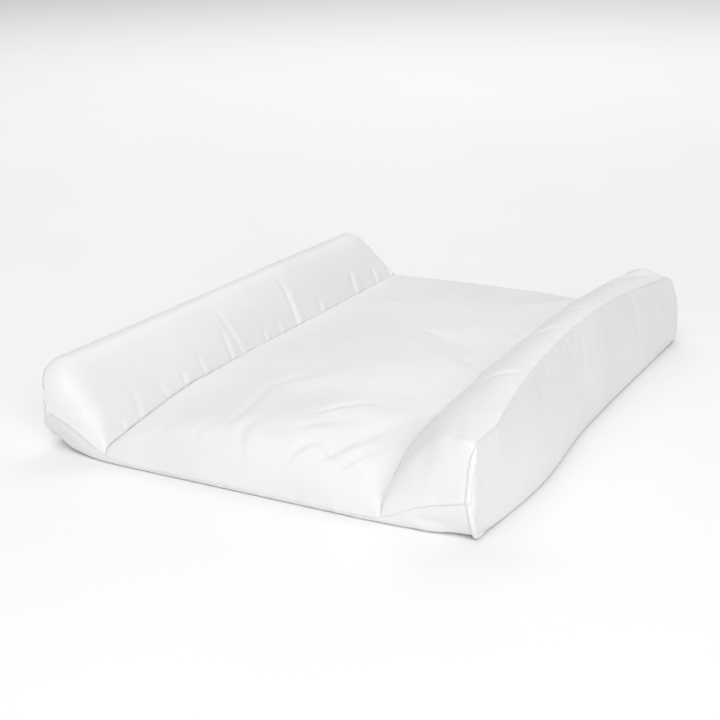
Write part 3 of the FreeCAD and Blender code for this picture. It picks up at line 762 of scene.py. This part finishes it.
def thread_material():
    """Twisted polyester thread."""
    material, shader = new_material("twisted_thread", Roughness=0.55, Sheen_Weight=0.2)
    twist = noise(shader, 900, 2, stretch=(1, 1, 3))
    tint(shader, twist, grey(0.72), grey(0.82))
    relief(shader, (twist, 0.5, 0.2 * MM))
    return material


def foam_material():
    """Open-cell foam: cream, with fine pores."""
    material, shader = new_material("open_cell_foam", Roughness=0.95)
    cells = new_node(shader, "ShaderNodeTexVoronoi", Scale=700)
    connect(place_on_piece(shader), cells.inputs["Vector"])
    tone = noise(shader, 14, 3)
    tint(shader, tone, (0.84, 0.80, 0.66), (0.9, 0.87, 0.75))
    relief(shader, (tone, 0.3, 2 * MM), (cells.outputs["Distance"], 0.8, 0.6 * MM))
    return material


def wadding_material(name, colour):
    """Loose fibres: soft tufts with fine strands in all directions."""
    material, shader = new_material(name, Roughness=1.0, Sheen_Weight=0.4)
    strands = noise(shader, 260, 6, stretch=(1, 0.25, 1))
    tint(shader, strands, tuple(0.88 * part for part in colour), colour)
    relief(shader, (noise(shader, 45, 3), 0.6, 3 * MM), (strands, 0.7, 0.8 * MM))
    return material


def tape_material():
    """Zip tape: a close weave of fine yarn."""
    material, shader = new_material("woven_tape", Roughness=0.8, Sheen_Weight=0.2)
    tint(shader, noise(shader, 60, 3), grey(0.78), grey(0.84))
    relief(shader, (weave(shader, 0.5 * MM), 0.6, 0.2 * MM))
    return material


def coil_material():
    """Nylon monofilament: smooth, slightly glossy."""
    material, shader = new_material("nylon_coil")
    tone = noise(shader, 200, 2)
    tint(shader, tone, (0.80, 0.80, 0.78), (0.86, 0.86, 0.84))
    vary_roughness(shader, tone, 0.28, 0.4)
    return material


def lacquer_material():
    """White lacquer on die-cast metal, with a fine orange-peel surface."""
    material, shader = new_material("white_lacquer", Coat_Weight=0.5, Coat_Roughness=0.12)
    tint(shader, noise(shader, 120, 3), grey(0.80), grey(0.84))
    vary_roughness(shader, noise(shader, 500, 2), 0.22, 0.38)
    relief(shader, (noise(shader, 1600, 2), 0.12, 0.1 * MM))
    return material


# ---------- the cover's panels
COVER = coated_fabric("coated_fabric", (0.80, 0.81, 0.80), (0.84, 0.85, 0.845), 0.45)
UNDERSIDE = coated_fabric("underside_fabric", (0.79, 0.80, 0.79), (0.83, 0.84, 0.835), 0.6)


def build_top_panels(grid):
    parts = (
        ("left_bolster", slice(0, LEFT_CREASE * FINER + 1), 0.9),
        ("centre_top", slice(LEFT_CREASE * FINER, RIGHT_CREASE * FINER + 1), 0.6),
        ("right_bolster", slice(RIGHT_CREASE * FINER, None), 0.9),
    )
    for name, columns, fill in parts:
        piece = shell(grid_object(f"{name}_cover", grid[columns]))
        dress(piece, COVER, f"{name}_panel")


# How far each corner of the underside is drawn up, in millimetres.
LIFTS = {("front", -1): 27, ("front", 1): 6, ("back", -1): 4, ("back", 1): 4}
LIFT_REACH = 90 * MM
FOOT_INSET = 1.5 * MM


def corner_lift(x, y):
    """How far the underside's corners are drawn up off the surface it rests on."""
    lift = 0
    for (end, side), high in LIFTS.items():
        end_y = FRONT_Y if end == "front" else BACK_Y
        near_side = np.clip(1 - (HALF_WIDTH - side * x) / LIFT_REACH, 0, 1)
        near_end = np.clip(1 - np.abs(y - end_y) / LIFT_REACH, 0, 1)
        lift = lift + high * MM * (near_side * near_end) ** 2.2
    return lift


def bottom_edge_x(side, y):
    """Distance from the middle of the seam between a gusset and the bottom panel. The right one bows out."""
    straight = HALF_WIDTH - FOOT_INSET - corner_turn(side, y)
    if side < 0:
        return straight
    along = np.clip((y - FRONT_Y) / (BACK_Y - FRONT_Y), 0, 1)
    return straight - 2 * MM * np.sin(np.pi * along) + 12 * MM * bell(y + 195 * MM, 115 * MM)


def corner_way(foot, end):
    """The part of the bottom panel's side that climbs one corner, from the lowest place up."""
    way = foot[: len(foot) // 2][::-1] if end == "front" else foot[len(foot) // 2 :]
    on_floor = way[:, 2] < way[:, 2].min() + 0.3 * MM
    near_end = np.abs(way[:, 1] - way[-1, 1]) < 28 * MM
    start = max(np.nonzero(on_floor)[0][-1], np.argmax(near_end))
    return way[start:]


GUSSET_ROWS = 46
GUSSET_FOLDS = [
    ([(-103, 101), (-118, 88)], 1.4, 5),
    ([(-14, 101), (-30, 84)], 1.5, 5),
    ([(30, 100), (0, 70), (-40, 32)], 1.3, 6),
    ([(8, 104), (-8, 92)], 1.2, 6),
    ([(201, 90), (181, 30)], 1.4, 9),
    ([(226, 86), (223, 70)], 1.2, 5),
    ([(-36, 82), (-91, 12)], 0.9, 8),
    ([(-131, 96), (-182, 35)], 0.9, 10),
    ([(88, 96), (34, 38)], 0.8, 8),
    ([(263, 78), (252, 16)], 1.0, 10),
    ([(-236, 98), (-262, 50)], 0.6, 10),
]


def swell(y, z):
    """Broad, uneven swelling of a gusset, -1 to 1."""
    return np.sin(y / (34 * MM) + 1.3 * np.sin(y / (61 * MM))) * np.sin(np.pi * np.clip(z / TOP_Z, 0, 1))


def wall_x(side, y, z):
    """Distance of a gusset from the middle: it leans in to the top seam, with a low belly."""
    seam_x, seam_z = top_seam(side, y)
    rise = np.clip(z / seam_z, 0, 1)
    low = corner_lift(side * HALF_WIDTH, y)
    ends = smooth((y - FRONT_Y) / (60 * MM)) * smooth((BACK_Y + 12 * MM - y) / (30 * MM))
    belly = 3.5 * MM * np.sin(np.pi * rise**0.6) * ends
    tuck = 1.2 * MM * bell(z - low, 3.5 * MM)
    turned = corner_turn(side, y)
    foot_x = bottom_edge_x(side, y) + turned + FOOT_INSET
    return foot_x + (seam_x + turned - foot_x) * rise**1.8 + belly - tuck - turned


def build_gusset(name, side, edge, foot):
    """The outer wall of one bolster, from the bottom panel's side, the foot, up to the top cover's edge."""
    steps = np.linalg.norm(np.diff(edge, axis=0), axis=1)
    share = np.concatenate([[0], np.cumsum(steps)]) / steps.sum()
    low_y = FRONT_Y + (BACK_Y - FRONT_Y) * share
    low_z = corner_lift(side * bottom_edge_x(side, low_y), low_y) + 0.3 * MM
    up = np.linspace(0, 1, GUSSET_ROWS)[None, :]
    y = low_y[:, None] + (edge[:, 1:2] - low_y[:, None]) * up
    z = low_z[:, None] + (edge[:, 2:3] - low_z[:, None]) * up
    front_foot, back_foot = corner_way(foot, "front"), corner_way(foot, "back")
    y = np.maximum(y, np.interp(z, front_foot[:, 2], front_foot[:, 1]))
    y = np.minimum(y, np.interp(z, back_foot[:, 2], back_foot[:, 1]))
    x = wall_x(side, y, z)
    grid = np.stack([side * x, y, z], axis=-1)
    chance = np.random.default_rng(23 + side)
    from_top = away_along(grid, 1, False)
    height = fold_height(GUSSET_FOLDS, y / MM, z / MM) + 1.2 * MM * swell(y, z)
    height += puckers(chance, y / MM, from_top, 14, 0.7, 10)
    from_foot = away_along(grid, 1)
    height += puckers(chance, y / MM, from_foot, 24, 0.7, 11)
    height *= smooth(from_foot / 5)
    height -= 0.3 * MM * np.exp(-from_top / 1.5)
    quiet = smooth(np.minimum(y - FRONT_Y, BACK_Y - y) / (12 * MM))
    grid[..., 0] += side * height * quiet
    grid += (edge[:, None, :] - grid[:, -1:, :]) * up[..., None] ** 8
    piece = shell(grid_object(f"{name}_gusset_cover", grid, flip=side < 0))
    dress(piece, COVER, f"{name}_side_gusset")


BOTTOM_ROWS = 200
BOTTOM_CLEAR = 0.6 * MM
BACK_ROUND = 5 * MM
# Under the front end seam the cloth folds in on itself towards each corner: points are (x, z).
UNDER_FOLDS = [
    ([(186, 13), (207, 14.5), (218, 13), (228, 9), (237, 4)], 2.2, 5),
    ([(-238, 26), (-224, 20), (-208, 14), (-196, 9)], 2.0, 6),
    ([(120, 6), (142, 8), (160, 6)], 0.8, 5),
    ([(-110, 6), (-90, 8), (-70, 6)], 0.8, 5),
]


def bottom_path(front, back, share):
    """One column of the bottom panel: in under the front end seam, along the floor and up to the zip."""
    side = -1 if share < 0 else 1
    corner = smooth((abs(front[0]) - CREASE_X) / (70 * MM))
    under = (6 + (17 if side < 0 else 7) * corner) * MM
    boxy = 2.4 - (1.2 if side < 0 else 0.4) * smooth((abs(front[0]) - 196 * MM) / (30 * MM))
    angle = np.linspace(0, np.pi / 2, 16)
    inset = 1 - np.cos(angle) ** (2 / boxy)
    drop = np.sin(angle) ** (2 / boxy)
    low_front = corner_lift(front[0], FRONT_Y + under)
    low_back = corner_lift(back[0], BACK_Y - BACK_ROUND)
    front_y = FRONT_Y + under * inset
    front_z = front[2] + (low_front - front[2]) * drop
    back_y = BACK_Y - BACK_ROUND * inset
    back_z = ZIP_LOWER_EDGE + (low_back - ZIP_LOWER_EDGE) * drop
    floor_y = np.linspace(front_y[-1], back_y[-1], 120)[1:-1]
    y = np.concatenate([front_y, floor_y, back_y[::-1]])
    floor_x = share * bottom_edge_x(side, floor_y)
    z = np.concatenate([front_z, corner_lift(floor_x, floor_y), back_z[::-1]]) + BOTTOM_CLEAR
    x = share * bottom_edge_x(side, y)
    # The two ends are eased onto the seam and the zip's edge.
    ease = np.zeros(len(y))
    ease[: len(angle)] = (1 - drop) ** 2
    x = x + (front[0] - x[0]) * ease
    y = y + (front[1] - y[0]) * ease
    return resample(np.stack([x, y, z], axis=1), BOTTOM_ROWS, crowd=0.8)


def build_bottom(front_edge, back_edge):
    shares = front_edge[:, 0] / np.where(front_edge[:, 0] < 0, -front_edge[0, 0], front_edge[-1, 0])
    grid = np.stack([bottom_path(*ends) for ends in zip(front_edge, back_edge, shares)])
    at_front = smooth((FRONT_Y + 14 * MM - grid[..., 1]) / (6 * MM))
    folds = fold_height(UNDER_FOLDS, grid[..., 0] / MM, grid[..., 2] / MM) * at_front
    grid = grid - normals(grid) * folds[..., None]
    piece = shell(grid_object("bottom_cover", grid, flip=True))
    dress(piece, UNDERSIDE, "bottom_panel")
    return grid


# ---------- seams


def roll(points, out, wide, proud, radii, sides=12):
    """Loops of a flattened roll along points. out is the way it stands proud, at each point."""
    tangent = np.gradient(points, axis=0)
    tangent /= np.linalg.norm(tangent, axis=1, keepdims=True)
    out = out - tangent * (out * tangent).sum(axis=1, keepdims=True)
    out /= np.linalg.norm(out, axis=1, keepdims=True)
    across = np.cross(tangent, out)
    angle = np.linspace(0, 2 * np.pi, sides, endpoint=False)
    ring = wide * np.cos(angle)[None, :, None] * across[:, None]
    ring = ring + proud * np.sin(angle)[None, :, None] * out[:, None]
    return points[:, None] + ring * radii[:, None, None]


# Of each rolled corner seam: its thickness, how far it leans out sideways, 0 to 1, and how far it runs over
# the bolster's top. The front right one is thick and shows. The others are thin and tucked in.
WELT_SHAPES = {
    ("front", -1): (0.45, 0.5, 4.2 * MM),
    ("front", 1): (1.1, 0.3, 9.6 * MM),
    ("back", -1): (0.6, 0.75, 4.2 * MM),
    ("back", 1): (0.6, 0.75, 4.2 * MM),
}
WELT_START = 3 * MM
WELT_WIDE = 2.7 * MM
WELT_PROUD = 1.9 * MM


def build_corner_welt(end, name, side, edge, foot):
    """The rolled seam up one corner, from the underside to the bolster's top, bunched at its upper end."""
    end_y, outward = (FRONT_Y, -1) if end == "front" else (BACK_Y, 1)
    thick, leaning, over_top = WELT_SHAPES[end, side]
    rows = edge if end == "front" else edge[::-1]
    turned = np.abs(rows[:, 1] - end_y) < over_top
    rows = rows[: max(int(np.argmin(turned)), 8)]
    climb = corner_way(foot, end)[:-1]
    points = resample(np.concatenate([climb[climb[:, 2] > WELT_START], rows]), 70)
    out = np.array([side * leaning, outward * math.sqrt(1 - leaning**2), 0.0])
    points += out * 0.8 * MM * thick
    chance = np.random.default_rng(31 + side + 5 * outward)
    share = np.linspace(0, 1, len(points))
    uneven = 1 + 0.06 * np.sin(share * 29 + chance.uniform(0, 6))
    uneven += 0.04 * np.sin(share * 71 + chance.uniform(0, 6))
    bunch = 0.3 * bell(share - 0.88, 0.04) + 0.12 * bell(share - 0.76, 0.03)
    ends = np.sqrt(np.clip(np.minimum(share / 0.05, (1 - share) / 0.14), 0.03, 1))
    radii = thick * ends * (uneven + bunch)
    loops = roll(points, np.repeat([out], len(points), axis=0), WELT_WIDE, WELT_PROUD, radii)
    name = f"{end}_{name}_corner"
    piece = tube_object(f"{name}_roll", loops, flip=True)
    dress(piece, COVER, f"{name}_welt")


THREAD = thread_material()
STITCH_PITCH = 3.4 * MM
STITCH_LONG = 2.7 * MM
STITCH_ROUND = 0.42 * MM


def build_stitching(name, line, out):
    """A row of separate stitches along a line. Each is a short thread whose ends dip into the cloth."""
    count = int(length_along(line)[-1] / STITCH_PITCH)
    line = resample(line, 4 * count + 1)
    points, faces = [], []
    bend = np.array([-0.8, -0.25, -0.1, -0.25, -0.8]) * MM
    radii = np.array([0.55, 0.95, 1.0, 0.95, 0.55]) * STITCH_ROUND
    for i in range(count):
        way = line[4 * i + 4] - line[4 * i]
        way = way / np.linalg.norm(way)
        along = np.linspace(-0.5, 0.5, 5)[:, None] * STITCH_LONG * way + line[4 * i + 2] + bend[:, None] * out
        loops = roll(along, np.repeat([out], 5, axis=0), 1, 1, radii, sides=6)
        first = len(points)
        points.extend(loops.reshape(-1, 3))
        faces += [[first + k for k in face] for face in tube_faces(*loops.shape[:2])]
    dress(mesh_object(f"{name}_threads", points, faces), THREAD, name)


def build_all_stitching(grid):
    inner = slice(12 * FINER, -12 * FINER)
    for name, side, crease, edge in (("left", -1, LEFT_CREASE, 0), ("right", 1, RIGHT_CREASE, LAST_COLUMN)):
        build_stitching(f"{name}_crease_stitching", grid[crease * FINER, slice(9, -9)], np.array([0, 0, 1.0]))
        build_stitching(f"{name}_top_stitching", grid[edge * FINER, inner], np.array([side * 0.6, 0, 0.8]))
    build_stitching("front_seam_stitching", grid[4:-4, 0], np.array([0, -1.0, 0]))
    for name in ("zip_upper_stitching", "zip_lower_stitching"):
        low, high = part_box(name)
        z = (low.z + high.z) / 2
        line = np.linspace([low.x, BACK_Y + 0.1 * MM, z], [high.x, BACK_Y + 0.1 * MM, z], 100)
        build_stitching(name, line, np.array([0, 1.0, 0]))


# ---------- filling
FOAM = foam_material()
WADDING = wadding_material("fibre_wadding", grey(0.86))
WEB = wadding_material("nonwoven_web", grey(0.8))


FOAM_INSET = 11 * MM
WRAP_INSET = 6 * MM
WRAP_LEAST = 1.5 * MM
FILLING_LOW = 2 * MM
LAYER_GAP = 0.6 * MM
WEB_GAP = 3 * MM
WEDGE_FROM_END = 26 * MM
CENTRE_FROM_END = 16 * MM


def wedge_curve(side, y, inset, low_z):
    """Top of a bolster's filling at one station: the cover's section, set in by inset."""
    t = np.linspace(0.05, 0.97, 24)
    x, z = bolster_point(side, t, y + 0 * t)
    z = z - inset * np.where(t < SLOPE_SHARE, 1.35, 1.0)
    far = top_seam(side, y)[0] - inset
    return np.clip(x, CREASE_X + WEB_GAP, far), np.maximum(z, low_z)


def inside_stations(inset, count=60):
    """Stations along the pad for its filling, closer at its ends, and how much is left there, 0 to 1."""
    long = (BACK_Y - FRONT_Y) / 2 - inset
    middle = (BACK_Y + FRONT_Y) / 2
    y = middle + long * np.sin(np.linspace(-np.pi / 2, np.pi / 2, count))
    left = np.clip((long - np.abs(y - middle)) / (35 * MM), 0, 1)
    return y, 0.45 + 0.55 * np.sqrt(1 - (1 - left) ** 2)


def ring_at(y, x, z):
    """A closed loop of points across the pad at y."""
    return np.stack([x, np.full(len(x), y), z], axis=1)


def build_wedge_filling(name, side):
    """The foam wedge of one bolster, and the wadding wrapped over its slope and ridge."""
    foam, wrap = [], []
    for y, left in zip(*inside_stations(WEDGE_FROM_END)):
        x, z = wedge_curve(side, y, FOAM_INSET, 4 * MM)
        z = FILLING_LOW + (z - FILLING_LOW) * left
        floor_x = np.array([HALF_WIDTH - 8 * MM, CREASE_X + WEB_GAP])
        floor_z = FILLING_LOW + 1.4 * corner_lift(side * floor_x, y)
        foam.append(ring_at(y, side * np.append(x, floor_x), np.append(z, floor_z)))
        outer_x, outer_z = wedge_curve(side, y, WRAP_INSET, 6 * MM)
        outer_z = 3 * MM + (outer_z - 3 * MM) * left
        inner_z = z + LAYER_GAP
        outer_z = np.maximum(outer_z, inner_z + WRAP_LEAST * left)
        wrap.append(ring_at(y, side * np.append(outer_x, x[::-1]), np.append(outer_z, inner_z[::-1])))
    for kind, loops, material, slot in (("foam", foam, FOAM, "foam"), ("wadding", wrap, WADDING, "wadding")):
        piece = tube_object(f"{name}_bolster_{kind}", np.array(loops), flip=side < 0)
        dress(piece, material, f"{name}_wedge_{kind}")


def build_centre_filling():
    """The middle's foam slab, and the fibre wadding on it that gives the lying surface its crown."""
    across = np.sin(np.linspace(-np.pi / 2, np.pi / 2, 40)) * (CREASE_X - 5 * MM)
    there_and_back = np.append(across, across[::-1])
    slab, fill = [], []
    slab_top = 14 * MM
    for y, left in zip(*inside_stations(CENTRE_FROM_END)):
        edge = np.sqrt(np.clip(1 - (across / across[-1]) ** 8, 0, 1))
        top = FILLING_LOW + (slab_top - FILLING_LOW) * left * (0.6 + 0.4 * edge)
        slab.append(ring_at(y, there_and_back, np.append(top, FILLING_LOW + 0 * across)))
        high = centre_height(across, y + 0 * across) - WRAP_INSET
        low = slab_top + LAYER_GAP + 0 * across
        high = low + 0.8 * MM + np.maximum(high - low - 0.8 * MM, 0) * left
        fill.append(ring_at(y, there_and_back, np.append(high, low)))
    parts = (
        ("centre_foam", slab, FOAM, "foam", "centre_foam_slab"),
        ("centre_fibre", fill, WADDING, "wadding", "centre_wadding"),
    )
    for name, loops, material, slot, node in parts:
        piece = tube_object(name, np.array(loops))
        dress(piece, material, node)


def build_baffle(name, side):
    """The web under one crease, a little rippled along its height."""
    y = np.linspace(FRONT_Y + 14 * MM, BACK_Y - 10 * MM, 140)
    up = np.linspace(0, 1, 8)[None, :]
    top = crease_height(y)[:, None] - 4.5 * MM
    z = 1.5 * MM + (top - 1.5 * MM) * up
    ripple = 0.6 * MM * np.sin(y[:, None] * 95 + 2 * np.sin(y[:, None] * 31)) * np.sin(np.pi * up)
    grid = np.stack([side * (CREASE_X + ripple), np.repeat(y[:, None], 8, axis=1), z], axis=-1)
    piece = shell(grid_object(f"{name}_web", grid), 0.6 * MM)
    dress(piece, WEB, f"{name}_baffle")


# ---------- zip
COIL_PITCH = 1.5 * MM
COIL_WIRE = 0.28 * MM
TURN_POINTS = 12


def build_zip_coil(name, turn):
    """A flattened helix of monofilament, whose turns reach between those of the other coil."""
    low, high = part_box(name)
    centre = (low + high) / 2
    turns = int((high.x - low.x) / COIL_PITCH)
    angle = np.arange(turns * TURN_POINTS) * 2 * np.pi / TURN_POINTS
    x = low.x + COIL_WIRE + (high.x - low.x - 2 * COIL_WIRE) * angle / angle[-1] + (COIL_PITCH / 4) * turn
    x = np.clip(x, low.x, high.x)
    y = centre.y + ((high.y - low.y) / 2 - COIL_WIRE) * np.sin(angle)
    z = centre.z - 0.15 * MM * turn + ((high.z - low.z) / 2 + 0.2 * MM - COIL_WIRE) * np.cos(angle)
    points = np.stack([x, y, z], axis=1)
    out = np.stack([0 * angle, np.sin(angle), np.cos(angle)], axis=1)
    loops = roll(points, out, COIL_WIRE, COIL_WIRE, np.ones(len(points)), sides=6)
    dress(tube_object(f"{name}_turns", loops), coil_material(), name)


def build_zip():
    build_zip_coil("zip_upper_coil", 1)
    build_zip_coil("zip_lower_coil", -1)
    tape = tape_material()
    lacquer = lacquer_material()
    for node in ("zip_upper_tape", "zip_lower_tape", "zip_stops", "zip_slider", "zip_pull_tab"):
        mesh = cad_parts[node].data
        mesh.materials.clear()
        mesh.materials.append(tape if node.endswith("tape") else lacquer)


# ---------- stage and camera
CAMERA_PLACE = (0.6945, -1.4311, 0.5715)
CAMERA_AIM = (-0.43547, 0.8417, -0.31922)
CAMERA_LENS = 70
# Each lamp's place, the place it aims at, its size and its power.
LAMPS = (
    ("front_right", (1.8, -2.2, 1.4), (0, 0, 0), 1.8, 40),
    ("over_front", (0, -1.6, 2.8), (0, 0, 0), 2.0, 23),
    ("over_left", (-2.6, 1.6, 3.2), (-2.6, 1.6, 0), 3.0, 33),
    ("over_back", (-0.6, 3.2, 3.2), (-0.6, 3.2, 0), 3.0, 42),
    ("far_back", (-1.5, 6.8, 4.0), (-1.5, 6.8, 0), 5.0, 40),
)
SKY = 0.443
FLOOR_HALF = 15


def add_object(name, data, place, aim):
    thing = bpy.data.objects.new(name, data)
    thing.location = place
    thing.rotation_euler = Vector(aim).to_track_quat("-Z", "Y").to_euler()
    bpy.context.scene.collection.objects.link(thing)
    return thing


def build_camera():
    data = bpy.data.cameras.new("camera")
    data.lens = CAMERA_LENS
    data.sensor_width = 36
    bpy.context.scene.camera = add_object("camera", data, CAMERA_PLACE, CAMERA_AIM)


def build_stage():
    """A plain pale floor, a white sky and soft lamps."""
    corners = [(FLOOR_HALF * x, FLOOR_HALF * y, 0) for x, y in ((-1, -1), (1, -1), (1, 1), (-1, 1))]
    floor = mesh_object("floor", corners, [[0, 1, 2, 3]])
    material, shader = new_material("pale_floor", Roughness=0.9, Specular_IOR_Level=0.1)
    tint(shader, noise(shader, 3), (0.94, 0.94, 0.94), (0.95, 0.95, 0.95))
    floor.data.materials.append(material)
    world = bpy.data.worlds.new("studio")
    world.use_nodes = True
    sky = world.node_tree.nodes["Background"]
    sky.inputs["Color"].default_value = (0.985, 0.992, 1.0, 1)
    sky.inputs["Strength"].default_value = SKY
    bpy.context.scene.world = world
    for name, place, aim, size, power in LAMPS:
        lamp = bpy.data.lights.new(name, "AREA")
        lamp.size = size
        lamp.energy = power
        add_object(name, lamp, place, Vector(aim) - Vector(place))
    bpy.context.scene.view_settings.view_transform = "Standard"


# ---------- build
build_camera()
build_stage()
cover = softened(top_cover_grid(), RIGHT_CREASE, reach=11, rounds=24, sharp_until=-330 * MM)
cover = softened(cover, LEFT_CREASE, reach=3, rounds=3, sharp_until=-150 * MM)
cover = settled_top(cover)
cover = detailed(finer(cover))
build_top_panels(cover)
bottom = build_bottom(cover[:, 0], cover[:, -1])
for side_name, side_sign, last in (("left", -1, 0), ("right", 1, -1)):
    build_gusset(side_name, side_sign, cover[last], bottom[last])
    build_wedge_filling(side_name, side_sign)
    build_baffle(side_name, side_sign)
    for end_name in ("front", "back"):
        build_corner_welt(end_name, side_name, side_sign, cover[last], bottom[last])
build_centre_filling()
build_all_stitching(cover)
build_zip()
